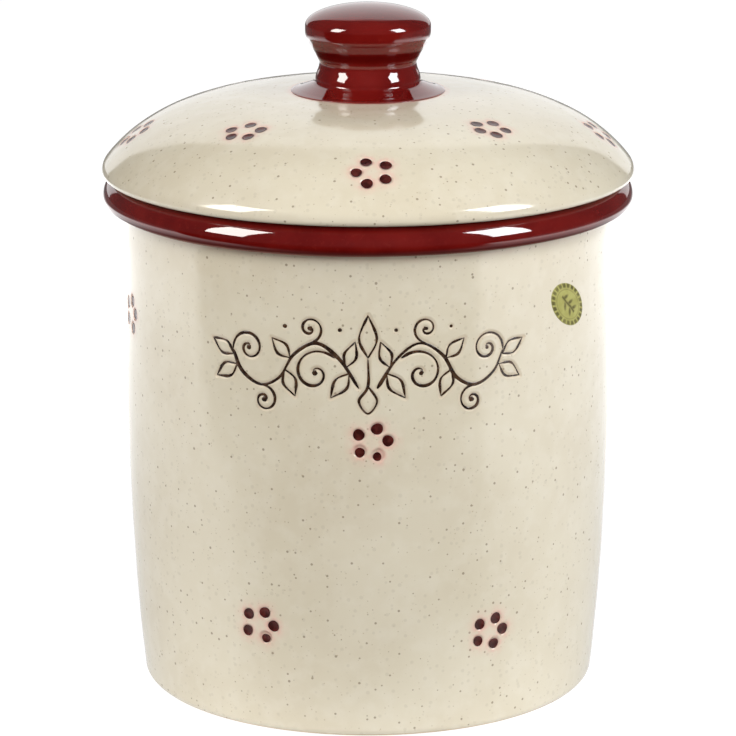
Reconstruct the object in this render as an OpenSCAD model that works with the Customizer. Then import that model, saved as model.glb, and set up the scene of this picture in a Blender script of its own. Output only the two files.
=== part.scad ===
// Stoneware rumtopf pot: a straight crock with a rolled rim, and a domed lid with a turned knob.
// The crock stands on its foot at z = 0, its axis is Z and its decorated front faces -Y.
// Azimuths are in degrees from the front, positive towards +X.

/* [Crock] */
// Height from the table to the seat that the lid rests on
crock_h = 209; // [170:0.5:260]
// Diameter of the wall just under the rim
wall_d = 197.2; // [170:0.2:230]
// Diameter that the wall would have at the table, before its corner is rounded
base_d = 184; // [160:1:196]
// How soon the wall swells out to its full width: a higher power swells lower down
wall_swell = 3.4; // [2:0.1:5]
// Thickness of the wall
wall_t = 8; // [5:0.5:12]
// Thickness of the floor
floor_t = 9; // [6:0.5:14]
// Radius of the rounded corner between wall and foot, outside
foot_round = 4; // [2:0.5:8]
// Radius of the corner between wall and floor, inside
floor_round = 14; // [6:1:24]
// Width of the ring that the crock stands on
foot_ring_w = 9; // [5:0.5:16]
// Depth of the recess inside the foot ring
foot_recess = 2; // [1:0.5:3]

/* [Rim] */
// Height of the rolled rim
rim_h = 12.8; // [9:0.1:18]
// How far the roll stands out from the wall
rim_out = 8.4; // [4:0.1:12]
// Height of the roll's lower curve, up to its widest line
rim_belly_h = 4.4; // [3:0.2:7]
// How far the roll's long upper curve draws in before the flat seat
rim_shoulder = 8; // [5:0.5:10]
// Radius of the hollow curve between the wall and the roll
neck_fillet = 1; // [0.6:0.2:3]
// Radius of the rounded inner edge of the mouth
mouth_round = 1.5; // [0.5:0.5:3]

/* [Lid] */
// How far the lid's edge stands out past the roll
lid_overhang = 0.2; // [-3:0.1:6]
// Height of the dome's curve, carried on past the nose to its end
dome_rise = 34.4; // [24:0.1:46]
// How far past the lid's edge the dome's curve would end
dome_over = 2.5; // [1:0.1:4]
// How full the dome is over its crown
dome_crown = 3.75; // [2:0.05:5]
// How steeply the dome falls to its edge: a lower power is blunter
dome_fall = 0.79; // [0.6:0.01:0.9]
// Radius of the nose that rounds the dome into the lid's edge
lid_nose = 6; // [3:0.5:9]
// Radius of the lid's lower edge, under its widest line
lid_edge = 2; // [1:0.1:4]
// Thickness of the lid
lid_t = 7; // [5:0.5:9]
// How far the locating flange reaches down into the mouth
flange_h = 9; // [5:0.5:16]
// Thickness of the locating flange
flange_t = 5; // [3:0.5:7]
// Chamfer on the flange's lower edges
flange_chamfer = 1.2; // [0.5:0.1:1.4]

/* [Knob] */
// Height of the knob above the lid
knob_h = 35; // [28:0.5:44]
// Diameter of the knob's cap
cap_d = 50.4; // [44:0.2:56]
// Height of the cap's domed top above its widest line
cap_dome = 8.5; // [5:0.5:12]
// Diameter of the waist that the fingers close round
waist_d = 39.2; // [32:0.2:42]
// Height of the waist
waist_z = 11.8; // [9:0.1:14]
// Diameter of the swelling below the waist
swell_d = 42; // [38:0.2:46]
// Height of the swelling's widest line
swell_z = 4.4; // [3.5:0.1:6]
// Diameter of the knob's spread foot
knob_foot_d = 62; // [54:0.2:70]
// Thickness of the foot's edge
knob_foot_lip = 0.8; // [0.4:0.1:1.5]
// Diameter of the knob's hollow, which is open into the lid so that the clay dries and fires evenly
knob_hollow_d = 18; // [12:1:20]
// Height of the hollow above the lid
knob_hollow_h = 24; // [16:1:26]
// Diameter of the spigot that is luted into the lid's hole
spigot_d = 26; // [22:0.5:32]

/* [Flowers] */
// Diameter of a pressed dot
dot_d = 4.9; // [3:0.1:6]
// Depth that a dot is pressed to
dot_depth = 0.9; // [0.5:0.1:1.5]
// Depth from the surface down to the coloured glaze in a dot
dot_glaze_depth = 0.3; // [0.1:0.1:0.4]
// Dots in a flower
petals = 5; // [4:1:6]
// Diameter of a crock flower, through its dots' centres
crock_flower_d = 11.6; // [10:0.2:16]
// Diameter of a lid flower, through its dots' centres
lid_flower_d = 12.2; // [10:0.2:16]
// Flowers round the lid, on a low and a high ring in turn
lid_flowers = 8; // [4:2:12]
// Distance in from the lid's edge to the low ring of flowers
low_ring_inset = 15.3; // [12:0.1:24]
// Distance in from the lid's edge to the high ring of flowers
high_ring_inset = 36; // [30:0.1:50]

/* [Seal] */
// Length of the oval paper seal
seal_l = 23.8; // [14:0.2:28]
// Height of the oval paper seal
seal_w = 15; // [10:0.2:20]
// How far the seal was stuck on askew, clockwise in degrees
seal_askew = 33; // [-90:1:90]
// Thickness of the paper and its glue
seal_t = 0.2; // [0.1:0.05:0.5]
// Azimuth of the seal's middle
seal_az = 52.5; // [-180:0.5:180]
// Distance from the rim's underside down to the seal's middle
seal_drop = 28; // [16:0.1:60]

/* [Fits] */
// Gap all round between the lid's flange and the mouth
flange_gap = 1.5; // [0.6:0.1:3]
// Gap all round between the knob's spigot and the lid's hole
spigot_gap = 0.3; // [0.1:0.1:0.6]
// Gap all round between a dot's glaze and the side of its dimple
dot_gap = 0.05; // [0.02:0.01:0.1]
// Flat land left round the knob's foot
knob_land = 0.6; // [0.2:0.1:1.5]

/* [Hidden] */
$fn = 144;

cream = "#d9d0b8";
bare_clay = "#cdb999";
glaze_red = "#6e1614";
dot_red = "#4a100e";
seal_green = "#a9a558";

// Steps in a quarter curve, up the wall and across the dome
arc_steps = 6;
wall_steps = 8;
dome_steps = 16;
// Degrees from one point of the seal's outline to the next
seal_step = 10;
// How far outside the surface the dots' pressing tool begins
press_over = 2;
// Range in degrees in which the dome meets the nose, and how often it is halved to find where
nose_range = [5, 85];
nose_tries = 20;

wall_h = crock_h - rim_h;
mouth_r = wall_d / 2 - wall_t;
rim_r = wall_d / 2 + rim_out;
lid_r = rim_r + lid_overhang;
dome_end_r = lid_r + dome_over;
nose_turn = nose_meet(nose_range[0], nose_range[1], nose_tries);
nose_r = nose_at(nose_turn);
dome_foot = lid_edge + lid_nose * sin(nose_turn) - dome_drop(nose_r);
flange_r = mouth_r - flange_gap;
lid_hollow_r = flange_r - flange_t;
land_r = knob_foot_d / 2 + knob_land;
land_z = dome_z(land_r);
lid_under_z = land_z - lid_t;
spigot_hole_r = spigot_d / 2 + spigot_gap;

// Where the crock's flowers sit: azimuth, and height as a share of the wall's height
crock_flowers = [
    [1, 0.62], [-26, 0.23], [30, 0.21], [-74, 0.8],
    [97, 0.69], [118, 0.24], [150, 0.57], [-176, 0.205], [-150, 0.73], [-128, 0.33], [-100, 0.485]
];

// How each of the lid's flowers strays from its even place: degrees round, and mm in from its ring
lid_strays = [[1, 0], [-3, 0], [-5, -1.2], [-2, 1], [0, 0], [2, -1], [5, -1.2], [4, -2.2]];

// Points on a quarter of an ellipse round a centre, from one angle to another
function arc(cx, cz, rx, rz, from, to) = [
    for (i = [0 : arc_steps])
        let (a = from + (to - from) * i / arc_steps)
        [cx + rx * cos(a), cz + rz * sin(a)]
];

// A smooth S from one ring to the next, without its first point
function ease(r0, z0, r1, z1) = [
    for (i = [1 : arc_steps])
        let (t = i / arc_steps)
        [r0 + (r1 - r0) * (1 - cos(180 * t)) / 2, z0 + (z1 - z0) * t]
];

// Radius of the crock's outside at a height
function wall_r(z) = wall_d / 2 - (wall_d - base_d) / 2 * pow(1 - z / wall_h, wall_swell);

// The outside of the wall from the foot's corner up, moved out by a skin's thickness
function wall_line(skin) = [
    for (i = [0 : wall_steps])
        let (z = foot_round + (wall_h - neck_fillet - foot_round) * i / wall_steps)
        [wall_r(z) + skin, z]
];

// Height of the dome's curve over its own end, and how steep it is, at a radius
function dome_drop(r) = dome_rise * pow(1 - pow(r / dome_end_r, dome_crown), dome_fall);
function dome_steep(r) =
    let (x = pow(r / dome_end_r, dome_crown))
    dome_rise * dome_fall * dome_crown * x / r * pow(1 - x, dome_fall - 1);

// Radius of the nose's surface where its outward direction points up by an angle
function nose_at(up) = lid_r - lid_nose * (1 - cos(up));

// The angle at which the dome runs smoothly into the nose, found by halving a range
function nose_meet(low, high, tries) =
    let (middle = (low + high) / 2)
    tries == 0 ? middle
    : dome_steep(nose_at(middle)) * tan(middle) > 1 ? nose_meet(low, middle, tries - 1)
    : nose_meet(middle, high, tries - 1);

// Height of the dome above the lid's seat, at a radius inside the nose, and its tilt from level
function dome_z(r) = dome_foot + dome_drop(r);
function dome_tilt(r) = atan(dome_steep(r));

// Height of the lid's underside above its seat, at a radius
function under_z(r) = lid_under_z * pow(1 - pow(r / (lid_r - lid_t), dome_crown), dome_fall);

// Points across a dome between two radii, closer together towards its edge
function dome_line(r_from, r_to, edge_r) = [
    for (i = [0 : dome_steps])
        let (from = asin(r_from / edge_r), to = asin(r_to / edge_r))
        edge_r * sin(from + (to - from) * i / dome_steps)
];

// Degrees that a length takes up round a circle
function turn_of(length, r) = length / r * 180 / PI;

// The body of the crock: foot ring, wall and floor, open at the mouth
module crock_blank() {
    corner_r = wall_r(foot_round) - foot_round;
    ring_in_r = wall_r(foot_round) - foot_round - foot_ring_w;
    inner_r = wall_r(floor_t + floor_round) - wall_t;
    inside = [
        for (i = [wall_steps : -1 : 1])
            let (z = floor_t + floor_round + (wall_h - floor_t - floor_round) * i / wall_steps)
            [wall_r(z) - wall_t, z]
    ];
    rotate_extrude()
        polygon(concat(
            [[0, foot_recess], [ring_in_r - foot_recess, foot_recess], [ring_in_r, 0]],
            arc(corner_r, foot_round, foot_round, foot_round, -90, 0),
            wall_line(0),
            arc(wall_d / 2 + neck_fillet, wall_h - neck_fillet, neck_fillet, neck_fillet, 180, 90),
            inside,
            arc(inner_r - floor_round, floor_t + floor_round, floor_round, floor_round, 0, -90),
            [[0, floor_t]]
        ));
}

module crock() {
    color(cream)
        difference() {
            crock_blank();
            crock_pressings(dot_d / 2, dot_depth, press_over);
        }
}

// The rolled rim: flat seat on top, a long curve down to its widest line, tucked in to the wall
module rim_roll() {
    neck_r = wall_d / 2 + neck_fillet;
    color(glaze_red)
        rotate_extrude()
            polygon(concat(
                [[mouth_r, wall_h]],
                arc(neck_r, wall_h + rim_belly_h, rim_r - neck_r, rim_belly_h, -90, 0),
                arc(rim_r - rim_shoulder, wall_h + rim_belly_h,
                    rim_shoulder, rim_h - rim_belly_h, 0, 90),
                arc(mouth_r + mouth_round, crock_h - mouth_round, mouth_round, mouth_round, 90, 180)
            ));
}

// The middles of a flower's dots: sideways and upwards, one petal pointing along the phase
function petal_points(flower_d, phase) = [
    for (k = [0 : petals - 1])
        let (a = phase + 360 * k / petals)
        [flower_d / 2 * cos(a), flower_d / 2 * sin(a)]
];

// A short cylinder in each dot of each crock flower, from a depth to a height over the surface
module crock_pressings(r, depth, over) {
    for (f = crock_flowers)
        for (p = petal_points(crock_flower_d, 0))
            let (z = f[1] * wall_h + p[1], surface = wall_r(z))
                rotate([0, 0, f[0] + turn_of(p[0], surface)])
                    translate([0, depth - surface, z])
                        rotate([90, 0, 0])
                            cylinder(h = depth + over, r = r);
}

// The dark red glaze that pools in the crock's pressed dots
module crock_dots() {
    color(dot_red)
        intersection() {
            crock_pressings(dot_d / 2 - dot_gap, dot_depth, -dot_glaze_depth);
            cylinder(h = crock_h, r = wall_d);
        }
}

// An oval paper seal stuck on the wall under the rim
module seal() {
    seal_z = wall_h - seal_drop;
    color(seal_green)
        intersection() {
            rotate([0, 0, seal_az])
                translate([0, 0, seal_z])
                    rotate([90, seal_askew, 0])
                        linear_extrude(wall_d)
                            polygon([
                                for (a = [0 : seal_step : 359])
                                    [seal_l / 2 * cos(a), seal_w / 2 * sin(a)]
                            ]);
            difference() {
                rotate_extrude()
                    polygon(concat([[0, foot_round]], wall_line(seal_t), [[0, wall_h - neck_fillet]]));
                rotate_extrude()
                    polygon(concat([[0, foot_round]], wall_line(0), [[0, wall_h - neck_fillet]]));
            }
        }
}

// A short cylinder in each dot of each lid flower, square to the dome
module lid_pressings(r, depth, over) {
    for (k = [0 : lid_flowers - 1]) {
        stray = lid_strays[k % len(lid_strays)];
        inset = k % 2 == 0 ? low_ring_inset : high_ring_inset;
        flower_r = lid_r - inset - stray[1];
        flower_tilt = dome_tilt(flower_r);
        for (p = petal_points(lid_flower_d, 180))
            let (dot_r = flower_r - p[1] * cos(flower_tilt))
                rotate([0, 0, 360 * k / lid_flowers + stray[0] + turn_of(p[0], dot_r)])
                    translate([0, -dot_r, dome_z(dot_r)])
                        rotate([dome_tilt(dot_r), 0, 0])
                            translate([0, 0, -depth])
                                cylinder(h = depth + over, r = r);
    }
}

module lid() {
    outer = dome_line(land_r, nose_r, lid_r);
    inner = dome_line(lid_hollow_r, spigot_hole_r, lid_r - lid_t);
    color(cream)
        translate([0, 0, crock_h])
            difference() {
                rotate_extrude()
                    polygon(concat(
                        [[spigot_hole_r, land_z]],
                        [for (r = outer) [r, dome_z(r)]],
                        arc(lid_r - lid_nose, lid_edge, lid_nose, lid_nose, nose_turn, 0),
                        arc(lid_r - lid_edge, lid_edge, lid_edge, lid_edge, 0, -90),
                        [[lid_hollow_r, 0]],
                        [for (r = inner) [r, under_z(r)]]
                    ));
                lid_pressings(dot_d / 2, dot_depth, press_over);
            }
}

// The ring under the lid that keeps it centred in the mouth
module lid_flange() {
    color(bare_clay)
        translate([0, 0, crock_h - flange_h])
            rotate_extrude()
                polygon([
                    [lid_hollow_r, flange_h],
                    [lid_hollow_r, flange_chamfer],
                    [lid_hollow_r + flange_chamfer, 0],
                    [flange_r - flange_chamfer, 0],
                    [flange_r, flange_chamfer],
                    [flange_r, flange_h]
                ]);
}

// The turned knob: spread foot, waist and domed cap, hollow, with a spigot into the lid
module knob() {
    foot_r = knob_foot_d / 2;
    swell_r = swell_d / 2;
    waist_r = waist_d / 2;
    cap_r = cap_d / 2;
    cap_z = knob_h - cap_dome;
    hollow_r = knob_hollow_d / 2;
    color(glaze_red)
        translate([0, 0, crock_h + land_z])
            rotate_extrude()
                polygon(concat(
                    [[hollow_r, -lid_t], [spigot_d / 2, -lid_t], [spigot_d / 2, 0], [foot_r, 0]],
                    arc(foot_r, swell_z, foot_r - swell_r, swell_z - knob_foot_lip, -90, -180),
                    ease(swell_r, swell_z, waist_r, waist_z),
                    ease(waist_r, waist_z, cap_r, cap_z),
                    arc(0, cap_z, cap_r, cap_dome, 0, 90),
                    arc(0, knob_hollow_h - hollow_r, hollow_r, hollow_r, 90, 0)
                ));
}

// The dark red glaze that pools in the lid's pressed dots
module lid_dots() {
    color(dot_red)
        translate([0, 0, crock_h])
            lid_pressings(dot_d / 2 - dot_gap, dot_depth, -dot_glaze_depth);
}

crock();
rim_roll();
crock_dots();
seal();
lid();
lid_flange();
knob();
lid_dots();
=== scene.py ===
import math

import bmesh
import bpy
import numpy as np
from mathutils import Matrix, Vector


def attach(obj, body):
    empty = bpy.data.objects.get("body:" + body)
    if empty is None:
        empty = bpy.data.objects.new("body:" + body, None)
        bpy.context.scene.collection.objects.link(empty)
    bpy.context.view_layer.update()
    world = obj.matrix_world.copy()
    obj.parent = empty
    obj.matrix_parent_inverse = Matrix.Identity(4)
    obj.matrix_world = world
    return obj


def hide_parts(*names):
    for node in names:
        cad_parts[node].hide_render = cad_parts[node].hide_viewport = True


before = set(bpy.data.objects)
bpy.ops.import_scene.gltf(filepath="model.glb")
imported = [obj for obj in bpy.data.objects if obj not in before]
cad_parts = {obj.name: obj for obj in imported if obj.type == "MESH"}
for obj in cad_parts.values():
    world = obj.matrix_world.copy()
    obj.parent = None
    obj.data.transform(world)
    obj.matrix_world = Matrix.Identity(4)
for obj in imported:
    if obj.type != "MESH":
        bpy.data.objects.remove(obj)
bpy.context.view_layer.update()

# The crock is thrown in one piece from speckled stoneware, 8 mm thick, and stands on a
# turned foot ring. Five-dot flowers were pressed into its wall and a scroll cut into its
# front before firing, and the cream glaze runs over all of it down to the foot.
MM = 0.001
crock_height = 209.0
wall_height = 196.2
wall_width = 197.2
foot_width = 184.0
wall_swelling = 3.4
wall_thickness = 8.0
floor_thickness = 9.0
foot_corner = 4.0
floor_corner = 14.0
foot_ring_width = 9.0
foot_recess = 2.0
neck_curve = 1.0
mouth_radius = wall_width / 2 - wall_thickness
glaze_line = 1.1
crock_flowers = [
    (1.0, 122.6), (-26.3, 45.2), (30.2, 41.2), (-74.0, 157.0), (97.0, 135.4), (118.0, 47.1),
    (150.0, 111.8), (-176.0, 40.2), (-150.0, 143.2), (-128.0, 64.7), (-100.0, 95.2),
]
usual_dots = [(5.9, 0.2), (2.1, 5.3), (-5.0, 3.5), (-5.1, -3.5), (2.2, -5.3)]
front_dots = [
    [(6.0, 0.6, 0.98, 270), (1.8, 5.4, 0.97, 270), (-5.3, 3.0, 0.98, 270), (-4.9, -3.7, 0.82, 275), (2.2, -5.2, 0.72, 235)],
    [(5.9, -0.1, 0.98, 270), (2.3, 5.1, 0.98, 270), (-4.9, 3.6, 0.98, 270), (-5.6, -3.4, 0.97, 270), (2.3, -5.2, 0.78, 300)],
    [(5.9, 0.1, 0.98, 270), (2.4, 5.1, 0.98, 270), (-4.8, 3.6, 0.97, 270), (-5.3, -3.3, 0.93, 270), (2.0, -5.3, 0.90, 260)],
]
dot_radius = 2.45
press_depth = 0.75


def wall_radius(z):
    """The outside of the wall at a height."""
    rise = 1 - np.clip(z, 0, wall_height) / wall_height
    return wall_width / 2 - (wall_width - foot_width) / 2 * rise ** wall_swelling


def curve(centre, reach, start, end, steps=8):
    """Points on a quarter of an ellipse, as (radius, height)."""
    turn = np.radians(np.linspace(start, end, steps + 1))
    return np.stack([centre[0] + reach[0] * np.cos(turn), centre[1] + reach[1] * np.sin(turn)], 1)


def throwing_rings(z, azimuth):
    """How far the fingers left the outside proud or hollow, in mm: faint rings and a slow wander."""
    rings = 0.05 * np.sin(z / 7.9 + azimuth) + 0.035 * np.sin(z / 3.7 - 1.3 * azimuth + 1.0)
    return rings + 0.09 * np.sin(2 * azimuth + z / 60) * np.sin(z / 41 + 0.6)


def turned(name, outline, around=240, faces_out=True):
    """A shape turned about the pot's axis from (radius, height) points in mm."""
    turn = np.arange(around) * 2 * math.pi / around
    rows = [
        np.stack([r * np.sin(turn), -r * np.cos(turn), np.full(around, z)], 1) for r, z in outline
    ]
    corner = np.arange(around)
    after = (corner + 1) % around
    quads = [
        np.stack([i * around + corner, i * around + after, (i + 1) * around + after, (i + 1) * around + corner], 1)
        for i in range(len(outline) - 1)
    ]
    mesh = bpy.data.meshes.new(name)
    mesh.from_pydata(np.concatenate(rows).tolist(), [], np.concatenate(quads).tolist())
    bm = bmesh.new()
    bm.from_mesh(mesh)
    bmesh.ops.remove_doubles(bm, verts=bm.verts, dist=0.0005)
    bmesh.ops.dissolve_degenerate(bm, dist=0.0001, edges=bm.edges)
    if faces_out:
        bmesh.ops.recalc_face_normals(bm, faces=bm.faces)
    bm.to_mesh(mesh)
    bm.free()
    return mesh


def corners_of(mesh):
    points = np.empty(len(mesh.vertices) * 3)
    mesh.vertices.foreach_get("co", points)
    return points.reshape(-1, 3)


def refined(mesh, nearness, reaches):
    """Splits the faces close to a detail, once for each reach, so that the detail gets a fine mesh."""
    bm = bmesh.new()
    bm.from_mesh(mesh)
    for reach in reaches:
        points = np.array([v.co for v in bm.verts])
        close = nearness(points) < reach
        bm.verts.ensure_lookup_table()
        edges = [e for e in bm.edges if close[e.verts[0].index] and close[e.verts[1].index]]
        bmesh.ops.subdivide_edges(bm, edges=edges, cuts=1, use_grid_fill=True)
        bm.verts.index_update()
    bm.to_mesh(mesh)
    bm.free()
    return mesh


def nearest(points, places, block=4000):
    """Distance from each point to the closest of some places."""
    found = np.empty(len(points))
    for i in range(0, len(points), block):
        part = points[i:i + block]
        found[i:i + block] = np.sqrt(((part[:, None, :] - places[None, :, :]) ** 2).sum(2)).min(1)
    return found


def paint(mesh, name, values):
    """Keeps a number for each corner of the mesh, which the glaze reads."""
    layer = mesh.attributes.new(name, "FLOAT", "POINT")
    layer.data.foreach_set("value", np.asarray(values, np.float32))


def to_metres(mesh, points):
    mesh.vertices.foreach_set("co", (points * MM).astype(np.float32).ravel())
    mesh.update()


def piece(name, mesh, body, *finishes, smooth=True):
    """Puts a finished mesh into the scene, riding on its body."""
    mesh.polygons.foreach_set("use_smooth", [smooth] * len(mesh.polygons))
    for finish in finishes:
        mesh.materials.append(finish)
    made = bpy.data.objects.new(name, mesh)
    bpy.context.scene.collection.objects.link(made)
    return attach(made, body)


class Dot:
    """One pressed dot: its middle on the surface, the directions over and into the clay, and its own shape."""

    def __init__(self, middle, across, up, out, hand, fill, slide):
        self.middle, self.across, self.up, self.out = (np.array(v, float) for v in (middle, across, up, out))
        self.radius = dot_radius * hand.uniform(0.95, 1.03)
        self.stretch = hand.uniform(0.92, 1.0)
        self.turn = hand.uniform(0, math.pi)
        self.wobble = hand.uniform(0, 2 * math.pi)
        self.depth = press_depth * hand.uniform(0.85, 1.1)
        self.fill = fill
        self.slide = math.radians(slide)

    def share(self, points):
        """How far out a point lies, 1 on the dot's edge."""
        offset = points - self.middle
        a, b = offset @ self.across, offset @ self.up
        turned_a = a * math.cos(self.turn) + b * math.sin(self.turn)
        turned_b = -a * math.sin(self.turn) + b * math.cos(self.turn)
        bearing = np.arctan2(turned_b, turned_a)
        edge = self.radius * (1 + 0.025 * np.sin(3 * bearing + self.wobble))
        return np.hypot(turned_a, turned_b / self.stretch) / edge


def flower_dots(middle_of, flowers, usual, own, hand):
    """The dots of each flower. The first flowers have dots of their own, the rest the usual five."""
    dots = []
    for k, flower in enumerate(flowers):
        places = own[k] if k < len(own) else [
            (a + hand.normal(0, 0.22), b + hand.normal(0, 0.22), hand.choice([0.98, 0.95, 0.86]), 270) for a, b in usual
        ]
        for a, b, fill, slide in places:
            dots.append(Dot(*middle_of(flower, a, b), hand, fill, slide))
    return dots


def on_wall(flower, across, up):
    azimuth, z = flower
    z = z + up
    r = float(wall_radius(z))
    turn = math.radians(azimuth) + across / r
    out = (math.sin(turn), -math.cos(turn), 0)
    return (r * out[0], r * out[1], z), (math.cos(turn), math.sin(turn), 0), (0, 0, 1), out


def smooth_step(x):
    x = np.clip(x, 0, 1)
    return x * x * (3 - 2 * x)


def pressed(points, outward, dots, bleed_reach=1.7):
    """Presses the dots into the points. Also returns how much red has bled into the glaze round them."""
    sunk = np.zeros(len(points))
    bleed = np.zeros(len(points))
    middles = np.array([d.middle for d in dots])
    for dot, middle in zip(dots, middles):
        near = np.nonzero(((points - middle) ** 2).sum(1) < 36)[0]
        share = dot.share(points[near])
        bowl = dot.depth * (1 - 0.08 * share ** 2) * (1 - smooth_step((share - 0.78) / 0.42))
        lip = 0.05 * np.exp(-((share - 1.42) / 0.16) ** 2)
        sunk[near] += bowl - lip
        away = np.clip((share - 1) * dot.radius, 0, None)
        bleed[near] = np.maximum(bleed[near], np.exp(-(away / bleed_reach) ** 1.3))
    return points - outward * sunk[:, None], bleed


hand = np.random.default_rng(11)
wall_dots = flower_dots(on_wall, crock_flowers, usual_dots, front_dots, hand)

# The scroll on the crock's front was cut freehand with a wire tool: a vine that runs both
# ways from a leaf in the middle, with curls, small leaves and berries along it.
scroll_height = 153.0


def spiral(centre, start_radius, end_radius, start, sweep, steps=46):
    """A curl from its outside in, in degrees."""
    t = np.linspace(0, 1, steps)
    r = start_radius + (end_radius - start_radius) * t ** 0.85
    a = np.radians(start + sweep * t)
    return np.stack([centre[0] + r * np.cos(a), centre[1] + r * np.sin(a)], 1)


def bent(points, steps=30):
    """A flowing line through a few points."""
    points = np.array(points, float)
    ends = np.concatenate([[2 * points[0] - points[1]], points, [2 * points[-1] - points[-2]]])
    line = []
    for a, b, c, d in zip(ends, ends[1:], ends[2:], ends[3:]):
        for t in np.linspace(0, 1, steps, endpoint=False):
            line.append(0.5 * (2 * b + (c - a) * t + (2 * a - 5 * b + 4 * c - d) * t * t
                               + (3 * b - a - 3 * c + d) * t ** 3))
    return np.array(line + [points[-1]])


def leaf(tip, root, bulge):
    """The outline of a small leaf, as two lines from its root to its tip."""
    tip, root = np.array(tip, float), np.array(root, float)
    along = tip - root
    side = np.array([-along[1], along[0]]) * bulge
    return [bent([root, root + along * 0.45 + side * s, tip], 14) for s in (1, -1)]


def scroll_strokes():
    """The scroll's lines, in mm across and up from its middle, with how heavy each was cut."""
    half = [
        (bent([(3.5, -9), (11, 2.5), (20, 8.5), (29, 3.5), (35, -6), (43, -9.5), (51, -5), (55, 3)]), 1.3),
        (spiral((47.8, 4.6), 7.4, 1.3, -12, 480), 1.0),
        (spiral((20.6, -3.4), 10.0, 1.2, 141, -445), 1.0),
        (spiral((22.6, 14.2), 5.6, 1.0, 268, -470), 0.9),
        (spiral((41.4, -15.4), 5.9, 1.0, 76, 470), 0.9),
    ]
    half += [(line, 0.9) for root, tip, bulge in [
        ((30.5, 2), (38, 9.5), 0.24), ((32.8, -2.6), (28.5, -13), 0.24), ((7.2, -3), (14.5, -13), 0.22),
        ((8.5, -0.8), (4.8, 9.5), 0.22), ((54.8, 1.2), (64.5, 6.5), 0.24), ((53.2, -2.6), (63, -8.5), 0.24),
    ] for line in leaf(tip, root, bulge)]
    strokes = [(line * [side, 1], weight) for side in (1, -1) for line, weight in half]
    strokes += [(line, 0.9) for line in leaf((0, 20), (0, 3), 0.2)]
    strokes.append((bent([(0, 3), (0, -8), (-3.5, -14), (0, -19), (3.5, -14), (0, -8)], 16), 0.9))
    return strokes


def scroll_berries():
    """The middles of the small round berries."""
    half = [(32.5, 14.5), (20.6, -3.4), (47.8, 4.6), (22.6, 14.2), (41.4, -15.4), (10.8, 14)]
    return [(side * u, v) for side in (1, -1) for u, v in half]


def on_front(line):
    """Wall points, in mm, of a line drawn across and up from the scroll's middle."""
    z = scroll_height + line[:, 1]
    r = wall_radius(z)
    turn = line[:, 0] / r
    return np.stack([r * np.sin(turn), -r * np.cos(turn), z], 1)


def evenly(line, step):
    """The same line with points at even distances along it."""
    run = np.concatenate([[0], np.cumsum(np.hypot(*np.diff(line, axis=0).T))])
    at = np.linspace(0, run[-1], max(4, int(run[-1] / step)))
    return np.stack([np.interp(at, run, line[:, 0]), np.interp(at, run, line[:, 1])], 1)


strokes = [(evenly(line, 0.6), weight) for line, weight in scroll_strokes()]
cut_points = np.concatenate([on_front(line) for line, _ in strokes] + [on_front(np.array(scroll_berries()))])

dot_middles = np.array([d.middle for d in wall_dots])


def near_wall_detail(points):
    """Distance from the dots' edges and the scroll's lines."""
    away = nearest(points, dot_middles) - dot_radius
    front = (points[:, 1] < -60) & (np.abs(points[:, 2] - scroll_height) < 30)
    away[front] = np.minimum(away[front], nearest(points[front], cut_points) - 0.6)
    outside = np.hypot(points[:, 0], points[:, 1]) > wall_radius(points[:, 2]) - 3
    return np.where(outside & (points[:, 2] > foot_corner), away, 99)


corner_radius = float(wall_radius(foot_corner)) - foot_corner
ring_inside = corner_radius + foot_corner - foot_corner - foot_ring_width
wall_rows = np.linspace(foot_corner, wall_height - neck_curve, 81)
inside_rows = np.linspace(wall_height, floor_thickness + floor_corner, 60)
inner_foot = float(wall_radius(floor_thickness + floor_corner)) - wall_thickness


def finger_marks(z):
    """The rings that the fingers leave inside."""
    return 0.22 * np.sin(z / 2.6) * smooth_step((wall_height - 6 - z) / 20)


crock_outline = np.concatenate([
    [[0, foot_recess], [40, foot_recess], [ring_inside - foot_recess, foot_recess]],
    curve((ring_inside, foot_recess), (foot_recess, foot_recess), 180, 270, 4)[1:],
    curve((corner_radius, foot_corner), (foot_corner, foot_corner), -90, 0, 8),
    np.stack([wall_radius(wall_rows), wall_rows], 1)[1:],
    curve((wall_width / 2 + neck_curve, wall_height - neck_curve), (neck_curve, neck_curve), 180, 90, 5)[1:],
    [[mouth_radius + 3, wall_height]],
    np.stack([wall_radius(inside_rows) - wall_thickness + finger_marks(inside_rows), inside_rows], 1),
    curve((inner_foot - floor_corner, floor_thickness + floor_corner), (floor_corner, floor_corner), 0, -90, 10)[1:],
    [[r, floor_thickness + 0.25 * math.cos(r / 3.1) * min(1, (72 - r) / 30)] for r in np.linspace(68, 0, 36)],
])
crock_mesh = refined(turned("Crock", crock_outline, 256), near_wall_detail, [4.2, 3.0, 2.1])
points = corners_of(crock_mesh)
radius = np.hypot(points[:, 0], points[:, 1])
azimuth = np.arctan2(points[:, 0], -points[:, 1])
outside = (radius > wall_radius(points[:, 2]) - 3) & (points[:, 2] >= foot_corner - 0.01)
outside &= points[:, 2] <= wall_height - neck_curve + 0.01
outward = np.stack([np.sin(azimuth), -np.cos(azimuth), np.zeros(len(points))], 1)
fading = smooth_step(points[:, 2] / 12) * smooth_step((wall_height - points[:, 2]) / 8)
true_radius = wall_radius(points[:, 2]) + throwing_rings(points[:, 2], azimuth) * fading
points[outside] = outward[outside] * true_radius[outside, None] + [0, 0, 1] * points[outside]
bleed = np.zeros(len(points))
groove = np.zeros(len(points))
points[outside], bleed[outside] = pressed(points[outside], outward[outside], wall_dots)
# The glaze is also pinked in a band round the top of the wall, just under the roll, fading downwards over about 1.6 mm.
bleed = np.maximum(bleed, 0.3 * np.exp(-((wall_height - points[:, 2]) / 1.6) ** 2) * outside)
front = outside & (points[:, 1] < -60) & (np.abs(points[:, 2] - scroll_height) < 30)
away = nearest(points[front], cut_points)
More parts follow.
